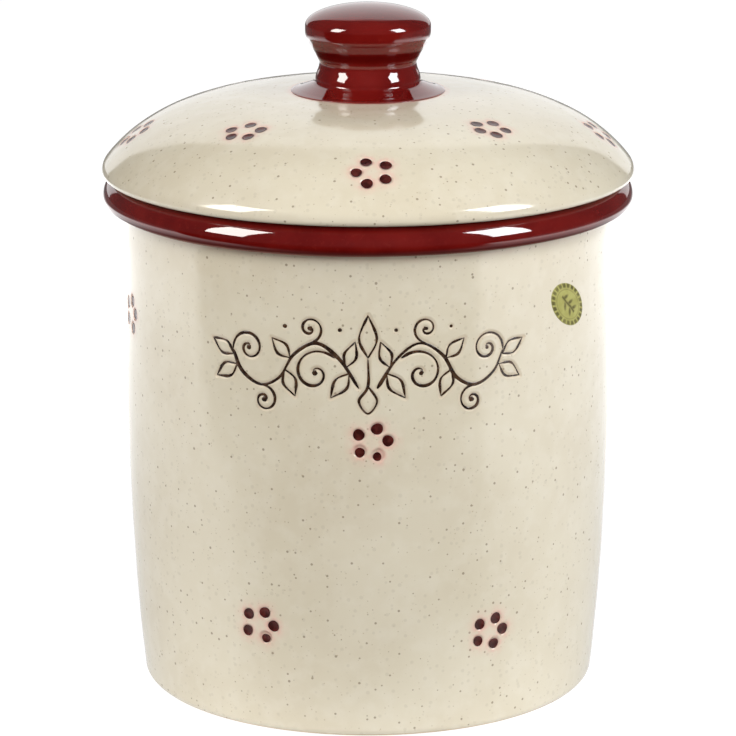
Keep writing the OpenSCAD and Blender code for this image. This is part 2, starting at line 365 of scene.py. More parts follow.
points[front] -= outward[front] * (0.26 * (1 - smooth_step((away - 0.5) / 0.75)))[:, None]
points[front] += outward[front] * (0.02 * np.exp(-((away - 1.5) / 0.35) ** 2))[:, None]
groove[front] = np.exp(-(away / 1.2) ** 4)
to_metres(crock_mesh, points)
paint(crock_mesh, "bleed", bleed)
paint(crock_mesh, "groove", groove)


def node(tree, kind, x=0, y=0, **settings):
    """A shader node with its settings and unlinked inputs."""
    made = tree.nodes.new(kind)
    made.location = (x, y)
    for key, value in settings.items():
        if hasattr(made, key):
            setattr(made, key, value)
        else:
            made.inputs[key.replace("_", " ")].default_value = value
    return made


def blank_finish(name):
    finish = bpy.data.materials.new(name)
    finish.use_nodes = True
    finish.node_tree.nodes.clear()
    tree = finish.node_tree
    shader = node(tree, "ShaderNodeBsdfPrincipled", 600, 0)
    output = node(tree, "ShaderNodeOutputMaterial", 900, 0)
    tree.links.new(shader.outputs[0], output.inputs[0])
    return finish, tree, shader


def mixed(tree, factor, first, second, x=0, y=0, way="MIX"):
    """Mixes two colours, each a colour or a socket, by a socket or a number."""
    made = node(tree, "ShaderNodeMix", x, y, data_type="RGBA", blend_type=way)
    for socket, value in ((made.inputs[0], factor), (made.inputs[6], first), (made.inputs[7], second)):
        if isinstance(value, bpy.types.NodeSocket):
            tree.links.new(value, socket)
        else:
            socket.default_value = (*value, 1) if isinstance(value, tuple) else value
    return made.outputs[2]


def ramped(tree, value, low, high, to_low=0.0, to_high=1.0, x=0, y=0):
    """A number carried smoothly from one range to another."""
    made = node(tree, "ShaderNodeMapRange", x, y, interpolation_type="SMOOTHSTEP")
    tree.links.new(value, made.inputs["Value"])
    for key, number in (("From Min", low), ("From Max", high), ("To Min", to_low), ("To Max", to_high)):
        made.inputs[key].default_value = number
    return made.outputs["Result"]


def times(tree, a, b, x=0, y=0, operation="MULTIPLY"):
    made = node(tree, "ShaderNodeMath", x, y, operation=operation)
    for socket, value in zip(made.inputs, (a, b)):
        if isinstance(value, bpy.types.NodeSocket):
            tree.links.new(value, socket)
        else:
            socket.default_value = value
    return made.outputs[0]


def in_clay(tree, x=-1400, y=0):
    """Where a point lies in the piece, in metres."""
    return node(tree, "ShaderNodeTexCoord", x, y).outputs["Object"]


def cloudy(tree, place, size, detail=2.0, x=-1100, y=0):
    """A soft noise whose patches are about that many mm across."""
    made = node(tree, "ShaderNodeTexNoise", x, y, Scale=1 / (size * MM), Detail=detail)
    tree.links.new(place, made.inputs["Vector"])
    return made.outputs["Fac"]


def specks(tree, place, spacing, size, share, x=-1100, y=0):
    """Iron specks: one in each cell of that many mm, of about that radius, in a share of the cells."""
    cells = node(tree, "ShaderNodeTexVoronoi", x, y, Scale=1 / (spacing * MM), Randomness=1.0)
    tree.links.new(place, cells.inputs["Vector"])
    parts = node(tree, "ShaderNodeSeparateColor", x + 200, y - 150)
    tree.links.new(cells.outputs["Color"], parts.inputs[0])
    reach = ramped(tree, parts.outputs[0], 1 - share, 1.0, 0.0, size / spacing, x + 400, y - 150)
    near = times(tree, reach, cells.outputs["Distance"], x + 600, y, "SUBTRACT")
    return ramped(tree, near, 0.0, 0.35 * size / spacing, x=x + 800, y=y)


def cream_glaze(name, lit=(0.66, 0.60, 0.47), shaded=(0.62, 0.555, 0.425)):
    """A glossy cream glaze over speckled stoneware, with red bleeding in round the dots."""
    finish, tree, shader = blank_finish(name)
    place = in_clay(tree)
    colour = mixed(tree, ramped(tree, cloudy(tree, place, 45, 3.0, y=500), 0.35, 0.65), shaded, lit, -600, 500)
    milky = ramped(tree, cloudy(tree, place, 7, 3.0, y=300), 0.42, 0.7, 0.0, 0.3, -800, 300)
    colour = mixed(tree, milky, colour, (0.71, 0.66, 0.55), -400, 500)
    soft = times(tree, specks(tree, place, 2.5, 1.0, 0.7, y=-150), 0.16, -200, -150)
    fine = times(tree, specks(tree, place, 1.7, 0.36, 0.7, y=0), 0.45, -200, 0)
    bold = times(tree, specks(tree, place, 3.1, 0.66, 0.8, y=-300), 0.66, -200, -300)
    colour = mixed(tree, soft, colour, (0.33, 0.28, 0.2), -100, 400)
    colour = mixed(tree, fine, colour, (0.33, 0.24, 0.13), 0, 400)
    colour = mixed(tree, bold, colour, (0.17, 0.12, 0.07), 150, 400)
    red = node(tree, "ShaderNodeAttribute", -600, 800, attribute_name="bleed")
    patchy = times(tree, red.outputs["Fac"],
                   ramped(tree, cloudy(tree, place, 2.2, y=900), 0.3, 0.65, 0.3, 0.85, -800, 900), -400, 800)
    colour = mixed(tree, patchy, colour, (0.70, 0.40, 0.33), 300, 400)
    cut = node(tree, "ShaderNodeAttribute", -600, 1100, attribute_name="groove")
    colour = mixed(tree, times(tree, cut.outputs["Fac"], 0.35, -400, 1100), colour, (0.42, 0.27, 0.15), 450, 400)
    tree.links.new(colour, shader.inputs["Base Color"])
    shader.inputs["IOR"].default_value = 1.55
    gloss = ramped(tree, cloudy(tree, place, 12, 2.0, y=-600), 0.3, 0.7, 0.07, 0.13, -600, -600)
    gloss = times(tree, gloss, times(tree, cut.outputs["Fac"], 0.4, -400, -500), -300, -500, "ADD")
    tree.links.new(gloss, shader.inputs["Roughness"])
    skin = times(tree, cloudy(tree, place, 5.5, 1.0, y=-800), cloudy(tree, place, 16, 1.0, y=-1000), -600, -800, "ADD")
    pits = times(tree, skin, times(tree, bold, 0.25, -400, -900), -200, -800, "SUBTRACT")
    bump = node(tree, "ShaderNodeBump", 300, -600, Strength=0.25, Distance=0.00012)
    tree.links.new(pits, bump.inputs["Height"])
    tree.links.new(bump.outputs[0], shader.inputs["Normal"])
    return finish


def bare_clay(name):
    """Unglazed stoneware: sandy, matt and faintly pitted."""
    finish, tree, shader = blank_finish(name)
    place = in_clay(tree)
    colour = mixed(tree, ramped(tree, cloudy(tree, place, 9, 4.0, y=400), 0.3, 0.7), (0.52, 0.40, 0.26), (0.62, 0.50, 0.35), -500, 400)
    grit = specks(tree, place, 1.8, 0.3, 0.5)
    colour = mixed(tree, times(tree, grit, 0.5, -200, 0), colour, (0.2, 0.13, 0.07), 0, 400)
    tree.links.new(colour, shader.inputs["Base Color"])
    shader.inputs["Roughness"].default_value = 0.82
    bump = node(tree, "ShaderNodeBump", 300, -400, Strength=0.5, Distance=0.0002)
    tree.links.new(cloudy(tree, place, 0.9, 4.0, y=-400), bump.inputs["Height"])
    tree.links.new(bump.outputs[0], shader.inputs["Normal"])
    return finish


crock_glaze = cream_glaze("CreamGlaze")
clay = bare_clay("BareClay")
crock = piece("Crock", crock_mesh, "crock_body", crock_glaze, clay)
heights = np.array([p.center.z for p in crock_mesh.polygons])
crock_mesh.polygons.foreach_set("material_index", (heights < glaze_line * MM).astype(int).tolist())
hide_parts("crock")

# The cut lines of the scroll are filled with a brown iron stain, brushed in and wiped
# back, which the glaze covers. It lies in the bottom of the cut.
stain_depth = 0.13


def inlay(line, half_widths):
    """A closed strip that lies in the cut, domed a little and narrow at its ends."""
    middle = on_front(line)
    along = np.gradient(line, axis=0)
    along /= np.hypot(*along.T)[:, None]
    side = np.stack([-along[:, 1], along[:, 0]], 1)
    rows = []
    for share, depth in ((-1, 0.4), (-1, stain_depth + 0.06), (-0.5, stain_depth), (0.5, stain_depth),
                         (1, stain_depth + 0.06), (1, 0.4)):
        shifted = on_front(line + side * (share * half_widths)[:, None])
        r = np.hypot(shifted[:, 0], shifted[:, 1])
        shifted[:, :2] *= ((r - depth) / r)[:, None]
        rows.append(shifted)
    return np.stack(rows, 1)


stain_points, stain_faces = [], []


def add_strip(rings):
    start = len(stain_points)
    count, sides = rings.shape[:2]
    stain_points.extend(rings.reshape(-1, 3).tolist())
    for i in range(count - 1):
        for j in range(sides):
            k = (j + 1) % sides
            stain_faces.append([start + i * sides + j, start + i * sides + k,
                                start + (i + 1) * sides + k, start + (i + 1) * sides + j])
    stain_faces.append([start + j for j in range(sides)][::-1])
    stain_faces.append([start + (count - 1) * sides + j for j in range(sides)])


for line, weight in strokes:
    run = np.linspace(0, 1, len(line))
    ends = np.clip(np.minimum(run, 1 - run) * len(line) * 0.6 / 2.5, 0, 1) ** 0.6
    pressure = 1 + 0.28 * np.sin(run * 9 + hand.uniform(0, 6)) + 0.08 * np.sin(run * 31)
    add_strip(inlay(line, 0.52 * weight * pressure * (0.25 + 0.75 * ends)))
for u, v in scroll_berries():
    run = np.linspace(-1, 1, 9)
    add_strip(inlay(np.stack([u + run * 1.15, np.full(9, v)], 1), 1.15 * np.sqrt(1.02 - run ** 2)))
stain_mesh = bpy.data.meshes.new("ScrollStain")
stain_mesh.from_pydata((np.array(stain_points) * MM).tolist(), [], stain_faces)


def iron_stain(name):
    """A dark brown stain under glaze, lighter where it was wiped thin."""
    finish, tree, shader = blank_finish(name)
    place = in_clay(tree)
    colour = mixed(tree, ramped(tree, cloudy(tree, place, 3.5, 3.0, y=300), 0.35, 0.75), (0.018, 0.009, 0.006), (0.075, 0.038, 0.02), -300, 300)
    tree.links.new(colour, shader.inputs["Base Color"])
    gloss = ramped(tree, cloudy(tree, place, 2, y=-100), 0.3, 0.7, 0.12, 0.3, -300, -100)
    tree.links.new(gloss, shader.inputs["Roughness"])
    return finish


scroll_stain = piece("ScrollStain", stain_mesh, "crock_body", iron_stain("IronStain"))

# Each pressed dot is filled with a dark red glaze from a dropper. It pooled in the bowl,
# sank in the middle as it dried and ran a little low, so some dots show cream at the top.
pool_rim, pool_sag = 0.14, 0.22


def glaze_pools(name, dots, body, finish):
    """The glaze in all the dots of one piece, each pool a thin closed lens."""
    spokes, rings = 32, 7
    corners, faces = [], []
    for dot in dots:
        start = len(corners)
        bearing = np.arange(spokes) * 2 * math.pi / spokes
        edge = dot.radius * (1 + 0.025 * np.sin(3 * bearing + dot.wobble)) * dot.fill * 0.985
        a, b = np.cos(bearing) * edge, np.sin(bearing) * edge * dot.stretch
        flat = np.stack([a * math.cos(dot.turn) - b * math.sin(dot.turn),
                         a * math.sin(dot.turn) + b * math.cos(dot.turn)], 1)
        shift = (1 - dot.fill) * dot.radius * 0.9 * np.array([math.cos(dot.slide), math.sin(dot.slide)])
        for level in (0, 1):
            for ring in range(rings, 0, -1):
                t = ring / rings
                place = flat * t + shift
                depth = pool_rim + pool_sag * (1 - t ** 2.2)
                if level:
                    depth = pool_rim + 0.05 + (dot.depth * 0.96 + 0.1 - pool_rim) * (1 - t ** 4)
                spot = dot.middle + place[:, :1] * dot.across + place[:, 1:] * dot.up
                corners.extend((spot - dot.out * depth).tolist())
            depth = pool_rim + pool_sag if level == 0 else dot.depth * 0.96 + 0.1
            corners.append((dot.middle + shift[0] * dot.across + shift[1] * dot.up - dot.out * depth).tolist())
        side = rings * spokes + 1
        for level in (0, 1):
            base = start + level * side
            for ring in range(rings - 1):
                for j in range(spokes):
                    k = (j + 1) % spokes
                    quad = [base + ring * spokes + j, base + ring * spokes + k,
                            base + (ring + 1) * spokes + k, base + (ring + 1) * spokes + j]
                    faces.append(quad if level == 0 else quad[::-1])
            for j in range(spokes):
                tip = [base + (rings - 1) * spokes + j, base + (rings - 1) * spokes + (j + 1) % spokes, base + side - 1]
                faces.append(tip if level == 0 else tip[::-1])
        for j in range(spokes):
            k = (j + 1) % spokes
            faces.append([start + k, start + j, start + side + j, start + side + k])
    mesh = bpy.data.meshes.new(name)
    mesh.from_pydata((np.array(corners) * MM).tolist(), [], faces)
    return piece(name, mesh, body, finish)


def dot_glaze(name):
    """A thick dark red glaze, nearly black in some patches and redder in others."""
    finish, tree, shader = blank_finish(name)
    place = in_clay(tree)
    colour = mixed(tree, ramped(tree, cloudy(tree, place, 2.6, 2.0, y=300), 0.35, 0.7), (0.034, 0.006, 0.005), (0.095, 0.017, 0.014), -300, 300)
    tree.links.new(colour, shader.inputs["Base Color"])
    shader.inputs["IOR"].default_value = 1.42
    gloss = ramped(tree, cloudy(tree, place, 1.4, y=-100), 0.3, 0.7, 0.12, 0.26, -300, -100)
    tree.links.new(gloss, shader.inputs["Roughness"])
    return finish


pool_glaze = dot_glaze("DotGlaze")
crock_pools = glaze_pools("CrockDots", wall_dots, "crock_body", pool_glaze)
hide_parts("crock_dots")

# The crock's rim is a thick roll, folded outwards while throwing, with a flat seat on top
# for the lid. It is dipped in red glaze, which thins to pink along its lower edge. That pink
# edge is lightened further as painted light, and the red just above it is darkened as
# painted shade, where shade falls under the roll.
rim_height = crock_height - wall_height
roll_reach = 8.4
roll_belly = 4.4
roll_shoulder = 8.0
mouth_round = 1.5
rim_radius = wall_width / 2 + roll_reach
neck_radius = wall_width / 2 + neck_curve
rim_outline = np.concatenate([
    [[mouth_radius, wall_height]],
    curve((neck_radius, wall_height + roll_belly), (rim_radius - neck_radius, roll_belly), -90, 0, 18),
    curve((rim_radius - roll_shoulder, wall_height + roll_belly), (roll_shoulder, rim_height - roll_belly), 0, 90, 26)[1:],
    [[r, crock_height] for r in np.linspace(rim_radius - roll_shoulder, mouth_radius + mouth_round, 6)[1:-1]],
    curve((mouth_radius + mouth_round, crock_height - mouth_round), (mouth_round, mouth_round), 90, 180, 6),
    [[mouth_radius, wall_height + 4], [mouth_radius, wall_height]],
])
rim_mesh = turned("RolledRim", rim_outline, 360)
points = corners_of(rim_mesh)
azimuth = np.arctan2(points[:, 0], -points[:, 1])
hang = np.clip((wall_height + 3.2 - points[:, 2]) / 3.2, 0, 1) * (np.hypot(points[:, 0], points[:, 1]) > wall_width / 2 - 1)
points[:, 2] += hang * (0.25 * np.sin(azimuth) + 0.12 * np.sin(3 * azimuth + 0.8) + 0.05 * np.sin(11 * azimuth))
# The lowest part of the roll's outside, about 1.6 mm, is marked to turn pink. This is the red glaze thinning there,
# lightened further as painted light against the shade under the roll.
edge = 0.55 * np.exp(-(np.clip(points[:, 2] - wall_height - 0.6, 0, None) / 1.0) ** 2) * (np.hypot(points[:, 0], points[:, 1]) > 90)
to_metres(rim_mesh, points)
paint(rim_mesh, "thin", edge)
# Painted shade: the roll's lower outside, over the neck, is marked so that the red glaze darkens and reflects less
# there.
shade_under_roll = (np.hypot(points[:, 0], points[:, 1]) > 90) * np.exp(-(np.clip(points[:, 2] - wall_height - 1.8, 0, None) / 1.4) ** 2)
paint(rim_mesh, "painted_shade", 0.95 * shade_under_roll)


def red_glaze(name):
    """A glossy dark red glaze that breaks to pink where it lies thin. The pink is partly painted light. Where shade
    falls under the roll and the knob's cap, the red is darkened as painted shade and its reflection dulled.
    """
    finish, tree, shader = blank_finish(name)
    place = in_clay(tree)
    colour = mixed(tree, ramped(tree, cloudy(tree, place, 14, 3.0, y=400), 0.3, 0.7), (0.105, 0.0035, 0.003), (0.14, 0.006, 0.0045), -500, 400)
    mottle = ramped(tree, cloudy(tree, place, 1.6, 2.0, y=150), 0.55, 0.8, 0.0, 0.35, -700, 150)
    colour = mixed(tree, mottle, colour, (0.18, 0.016, 0.012), -200, 400)
    # The red turns pink where the glaze lies thin. On the roll's underside and round the knob's waist, this pink is
    # also painted light.
    thin = node(tree, "ShaderNodeAttribute", -600, 700, attribute_name="thin")
    colour = mixed(tree, thin.outputs["Fac"], colour, (0.74, 0.40, 0.32), 100, 400)
    # Painted shade: where shade falls under the roll and under the knob's cap, the red is darkened towards black and
    # its reflection dulled.
    painted_shade = node(tree, "ShaderNodeAttribute", -600, 1000, attribute_name="painted_shade").outputs["Fac"]
    shade_darkening = times(tree, painted_shade, times(tree, 0.7, thin.outputs["Fac"], -400, 900, "SUBTRACT"), -300, 1000)
    colour = mixed(tree, shade_darkening, colour, (0.06, 0.0015, 0.001), 250, 400)
    tree.links.new(ramped(tree, painted_shade, 0.0, 1.0, 0.5, 0.1, 250, 1000), shader.inputs["Specular IOR Level"])
    tree.links.new(ramped(tree, painted_shade, 0.0, 1.0, 1.62, 1.08, 250, 1300), shader.inputs["IOR"])
    tree.links.new(colour, shader.inputs["Base Color"])
    gloss = ramped(tree, cloudy(tree, place, 9, y=-100), 0.3, 0.7, 0.03, 0.07, -600, -100)
    tree.links.new(gloss, shader.inputs["Roughness"])
    bump = node(tree, "ShaderNodeBump", 300, -400, Strength=0.15, Distance=0.00012)
    tree.links.new(cloudy(tree, place, 6, 1.0, y=-400), bump.inputs["Height"])
    tree.links.new(bump.outputs[0], shader.inputs["Normal"])
    return finish


rim_glaze = red_glaze("RedGlaze")
rim = piece("RolledRim", rim_mesh, "crock_body", rim_glaze)
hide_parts("rim_roll")

# A small oval paper seal is glued on the wall under the rim, a little askew. It is olive
# green, with a printed border and a plain sprig in place of any words.
seal_long, seal_high = 23.8, 15.0
seal_askew = 34.0
seal_azimuth = 52.5
seal_middle = 168.2
seal_thickness = 0.2


def seal_rows(level):
    """Rings of the paper's top, at a share of its thickness."""
    spokes, rings = 180, 40
    bearing = np.arange(spokes) * 2 * math.pi / spokes
    rows, flat = [], []
    for ring in range(rings, 0, -1):
        t = ring / rings
        a, b = np.cos(bearing) * seal_long / 2 * t, np.sin(bearing) * seal_high / 2 * t
        flat.append(np.stack([a, b], 1))
    flat.append(np.zeros((1, 2)))
    flat = np.concatenate(flat)
    lean = math.radians(-seal_askew)
    across = flat[:, 0] * math.cos(lean) - flat[:, 1] * math.sin(lean)
    z = seal_middle + flat[:, 0] * math.sin(lean) + flat[:, 1] * math.cos(lean)
    turn = math.radians(seal_azimuth) + across / (wall_width / 2)
    r = wall_radius(z) + level
    return np.stack([r * np.sin(turn), -r * np.cos(turn), z], 1), flat, spokes, rings


top, flat, spokes, rings = seal_rows(seal_thickness)
share = np.hypot(flat[:, 0] / (seal_long / 2), flat[:, 1] / (seal_high / 2))
azimuth = np.arctan2(top[:, 0], -top[:, 1])
under = top.copy()
for skin, level in ((top, seal_thickness - 0.08 * smooth_step((share - 0.94) / 0.06)), (under, np.full(len(top), -0.15))):
    r = wall_radius(skin[:, 2]) + throwing_rings(skin[:, 2], azimuth) + level
    skin[:, 0], skin[:, 1] = r * np.sin(azimuth), -r * np.cos(azimuth)
faces = []
count = len(top)
for base, flip in ((0, False), (count, True)):
    for ring in range(rings - 1):
        for j in range(spokes):
            k = (j + 1) % spokes
            quad = [base + ring * spokes + j, base + ring * spokes + k, base + (ring + 1) * spokes + k, base + (ring + 1) * spokes + j]
            faces.append(quad[::-1] if flip else quad)
    for j in range(spokes):
        tip = [base + (rings - 1) * spokes + j, base + (rings - 1) * spokes + (j + 1) % spokes, base + count - 1]
        faces.append(tip[::-1] if flip else tip)
for j in range(spokes):
    faces.append([(j + 1) % spokes, j, count + j, count + (j + 1) % spokes])
seal_mesh = bpy.data.meshes.new("Seal")
seal_mesh.from_pydata((np.concatenate([top, under]) * MM).tolist(), [], faces)
bearing = np.degrees(np.arctan2(flat[:, 1] / seal_high, flat[:, 0] / seal_long)) % 360
ticks = smooth_step((np.cos(np.radians(bearing * 22)) + 0.75) / 0.5) * (0.9 + 0.1 * np.cos(np.radians(bearing * 3 + 40)))
border = np.exp(-((share - 0.89) / 0.11) ** 4) * ticks
rule = np.exp(-((share - 0.7) / 0.02) ** 2) * 0.5
stem = np.exp(-((flat[:, 1] + 0.14 * flat[:, 0] - 0.1 * np.sin(flat[:, 0])) / 0.55) ** 2) * (np.abs(flat[:, 0]) < 5.6)
leaves = np.zeros(len(flat))
for a, b, lean in ((-3.4, 1.6, 50), (-1.6, -1.5, -50), (0.6, 1.3, 50), (2.6, -2.0, -50), (4.2, 0.6, 40)):
    c, s = math.cos(math.radians(lean)), math.sin(math.radians(lean))
    x, y = (flat[:, 0] - a) * c + (flat[:, 1] - b) * s, -(flat[:, 0] - a) * s + (flat[:, 1] - b) * c
    leaves = np.maximum(leaves, np.exp(-((x / 1.8) ** 2 + (y / 0.8) ** 2) ** 2))
ink = np.clip(np.maximum.reduce([border, rule, stem * 0.95, leaves * 0.9]), 0, 1)
paint(seal_mesh, "ink", np.concatenate([ink, ink * 0]))


def seal_paper(name):
    """Olive green coated paper with a darker print, worn thin in places."""
    finish, tree, shader = blank_finish(name)
    place = in_clay(tree)
    colour = mixed(tree, ramped(tree, cloudy(tree, place, 4, 3.0, y=400), 0.3, 0.7), (0.33, 0.315, 0.085), (0.41, 0.39, 0.125), -500, 400)
    print_on = node(tree, "ShaderNodeAttribute", -600, 700, attribute_name="ink")
    worn = times(tree, print_on.outputs["Fac"], ramped(tree, cloudy(tree, place, 1.2, 2.0, y=900), 0.3, 0.6, 0.8, 1.0, -700, 900), -400, 700)
    colour = mixed(tree, worn, colour, (0.075, 0.06, 0.014), 0, 400)
    tree.links.new(colour, shader.inputs["Base Color"])
    shader.inputs["Roughness"].default_value = 0.55
    shader.inputs["Specular IOR Level"].default_value = 0.2
    bump = node(tree, "ShaderNodeBump", 300, -400, Strength=0.15, Distance=0.0001)
    tree.links.new(cloudy(tree, place, 0.5, 3.0, y=-400), bump.inputs["Height"])
    tree.links.new(bump.outputs[0], shader.inputs["Normal"])
    return finish


seal = piece("Seal", seal_mesh, "crock_body", seal_paper("SealPaper"))
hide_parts("seal")

# The lid is thrown upside down as a shallow dome, 7 mm thick, and rests on the roll. Eight
# flowers are pressed round it on a low and a high ring, and it is glazed cream.
lid_radius = rim_radius + 0.2
dome_rise, dome_crown, dome_fall = 34.4, 3.75, 0.79
dome_end = lid_radius + 2.5
lid_nose, lid_edge = 6.0, 2.0
lid_thickness = 7.0
knob_foot_radius = 31.0
land_radius = knob_foot_radius + 0.6
flange_gap, flange_thickness = 1.5, 5.0
flange_radius = mouth_radius - flange_gap
lid_hollow_radius = flange_radius - flange_thickness
spigot_hole_radius = 13.3
lid_flowers = [(0.95, 91.9), (42.0, 71.2), (-41.0, 73.4), (85.0, 93.1), (-85.0, 93.1), (133.0, 70.2), (-133.0, 72.2), (180.0, 91.9)]
usual_lid_dots = [(-6.1, -0.2), (-2.0, 5.6), (5.0, 3.5), (4.9, -3.5), (-1.9, -5.6)]
front_lid_dots = [
    [(-6.0, -0.3, 0.98, 270), (-2.2, 5.7, 0.98, 270), (5.3, 3.8, 0.97, 270), (5.1, -3.6, 0.97, 270), (-2.0, -5.7, 0.98, 270)],
    [(-5.7, -0.5, 0.98, 270), (-2.6, 5.2, 0.98, 270), (4.5, 3.3, 0.98, 270), (5.3, -3.4, 0.98, 270), (-1.5, -5.2, 0.98, 270)],
    [(-6.4, -0.7, 0.98, 270), (-1.4, 5.4, 0.98, 270), (5.9, 3.0, 0.98, 270), (4.8, -3.3, 0.98, 270), (-2.4, -5.1, 0.98, 270)],
]


def dome_drop(r):
    """The dome's curve, which falls to nothing a little outside the lid."""
    return dome_rise * (1 - np.clip(r / dome_end, 0, 1) ** dome_crown) ** dome_fall


def dome_slope(r):
    x = np.clip(r / dome_end, 1e-6, 0.9985) ** dome_crown
    return dome_rise * dome_fall * dome_crown * x / np.maximum(r, 1e-6) * (1 - x) ** (dome_fall - 1)


nose_low, nose_high = 5.0, 85.0
while nose_high - nose_low > 0.001:
    nose_turn = (nose_low + nose_high) / 2
    meets = lid_radius - lid_nose * (1 - math.cos(math.radians(nose_turn)))
    if dome_slope(meets) * math.tan(math.radians(nose_turn)) > 1:
        nose_high = nose_turn
    else:
        nose_low = nose_turn
nose_radius = lid_radius - lid_nose * (1 - math.cos(math.radians(nose_turn)))
dome_foot = lid_edge + lid_nose * math.sin(math.radians(nose_turn)) - float(dome_drop(nose_radius))


def dome_height(r):
    """Height of the dome over the seat at a radius."""
    return dome_foot + dome_drop(r)


land_height = float(dome_height(land_radius))


def under_height(r):
    under = np.clip(r / (lid_radius - lid_thickness), 0, 1) ** dome_crown
    return (land_height - lid_thickness) * (1 - under) ** dome_fall


def on_dome(flower, across, up):
    azimuth, flower_r = flower
    tilt = math.atan(float(dome_slope(flower_r)))
    r = flower_r - up * math.cos(tilt)
    tilt = math.atan(float(dome_slope(r)))
    turn = math.radians(azimuth) + across / r
    east = (math.cos(turn), math.sin(turn), 0)
    level = (math.sin(turn), -math.cos(turn), 0)
    out = (level[0] * math.sin(tilt), level[1] * math.sin(tilt), math.cos(tilt))
    uphill = (-level[0] * math.cos(tilt), -level[1] * math.cos(tilt), math.sin(tilt))
    return (r * level[0], r * level[1], crock_height + float(dome_height(r))), east, uphill, out


lid_dots = flower_dots(on_dome, lid_flowers, usual_lid_dots, front_lid_dots, hand)
lid_dot_middles = np.array([d.middle for d in lid_dots])
dome_steps = nose_radius * np.sin(np.linspace(math.asin(land_radius / nose_radius), math.pi / 2, 64))
under_steps = (lid_radius - lid_thickness) * np.sin(np.linspace(
    math.asin(lid_hollow_radius / (lid_radius - lid_thickness)),
    math.asin(spigot_hole_radius / (lid_radius - lid_thickness)), 40))
lid_outline = np.concatenate([
    [[spigot_hole_radius, land_height], [land_radius - 6, land_height], [land_radius - 0.5, land_height]],
    np.stack([dome_steps, dome_height(dome_steps)], 1),
    curve((lid_radius - lid_nose, lid_edge), (lid_nose, lid_nose), nose_turn, 0, 16)[1:],
    curve((lid_radius - lid_edge, lid_edge), (lid_edge, lid_edge), 0, -90, 10)[1:],
    [[98, 0], [92, 0], [lid_hollow_radius, 0]],
    np.stack([under_steps, under_height(under_steps)], 1),
    [[spigot_hole_radius, land_height]],
])
lid_outline[:, 1] += crock_height


def near_lid_detail(points):
    away = nearest(points, lid_dot_middles) - dot_radius
    r = np.hypot(points[:, 0], points[:, 1])
    above = points[:, 2] > crock_height + dome_height(r) - 1.5
    return np.where(above & (r > land_radius + 1), away, 99)


lid_mesh = refined(turned("Lid", lid_outline, 256), near_lid_detail, [4.2, 3.0, 2.1])
points = corners_of(lid_mesh)
radius = np.hypot(points[:, 0], points[:, 1])
azimuth = np.arctan2(points[:, 0], -points[:, 1])
top_side = (radius > land_radius + 0.3) & (radius < nose_radius - 0.01)
top_side &= points[:, 2] > crock_height + dome_height(radius) - 1.5
tilt = np.arctan(dome_slope(radius))
outward = np.stack([np.sin(azimuth) * np.sin(tilt), -np.cos(azimuth) * np.sin(tilt), np.cos(tilt)], 1)
points[top_side, 2] = crock_height + dome_height(radius[top_side])
turning_lines = 0.03 * np.sin(radius / 2.9 + azimuth) + 0.05 * np.sin(radius / 9.0 - 2 * azimuth)
points[top_side] += outward[top_side] * (turning_lines * smooth_step((lid_radius - 3 - radius) / 8)
                                         * smooth_step((radius - land_radius) / 5)
                                         - 0.08 * smooth_step((nose_radius - radius) / 6))[top_side, None]
bleed = np.zeros(len(points))
points[top_side], bleed[top_side] = pressed(points[top_side], outward[top_side], lid_dots)
knob_bleed = np.exp(-(np.clip(radius - knob_foot_radius - 0.1, 0, None) / 0.8) ** 2) * (points[:, 2] > crock_height + land_height - 3)
to_metres(lid_mesh, points)
paint(lid_mesh, "bleed", np.maximum(bleed, knob_bleed))
paint(lid_mesh, "groove", np.zeros(len(points)))
lid = piece("Lid", lid_mesh, "lid_body", crock_glaze, clay)
centres = np.array([tuple(p.center) for p in lid_mesh.polygons]) / MM
seat = (centres[:, 2] < crock_height + 0.4) & (np.hypot(centres[:, 0], centres[:, 1]) < rim_radius - 2.5)
lid_mesh.polygons.foreach_set("material_index", seat.astype(int).tolist())
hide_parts("lid")
lid_pools = glaze_pools("LidDots", lid_dots, "lid_body", pool_glaze)
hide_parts("lid_dots")

# Under the lid a ring of clay was turned in one with it. It drops into the mouth and keeps
# the lid centred, and it is left unglazed so that it doesn't stick in the kiln.
flange_height, flange_chamfer = 9.0, 1.2
flange_foot = crock_height - flange_height
flange_outline = np.concatenate([
    [[lid_hollow_radius, crock_height], [lid_hollow_radius, crock_height - 4]],
    curve((lid_hollow_radius + flange_chamfer, flange_foot + flange_chamfer), (flange_chamfer, flange_chamfer), 180, 270, 6),
    curve((flange_radius - flange_chamfer, flange_foot + flange_chamfer), (flange_chamfer, flange_chamfer), 270, 360, 6),
    [[flange_radius, crock_height - 4], [flange_radius, crock_height], [lid_hollow_radius, crock_height]],
])
flange_mesh = turned("LidFlange", flange_outline, 240)
points = corners_of(flange_mesh)
azimuth = np.arctan2(points[:, 0], -points[:, 1])
points[:, 2] += 0.12 * np.sin(5 * azimuth + 1) * (points[:, 2] < flange_foot + 1)
points[:, 2] = np.maximum(points[:, 2], flange_foot)
to_metres(flange_mesh, points)
flange = piece("LidFlange", flange_mesh, "lid_body", clay)
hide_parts("lid_flange")

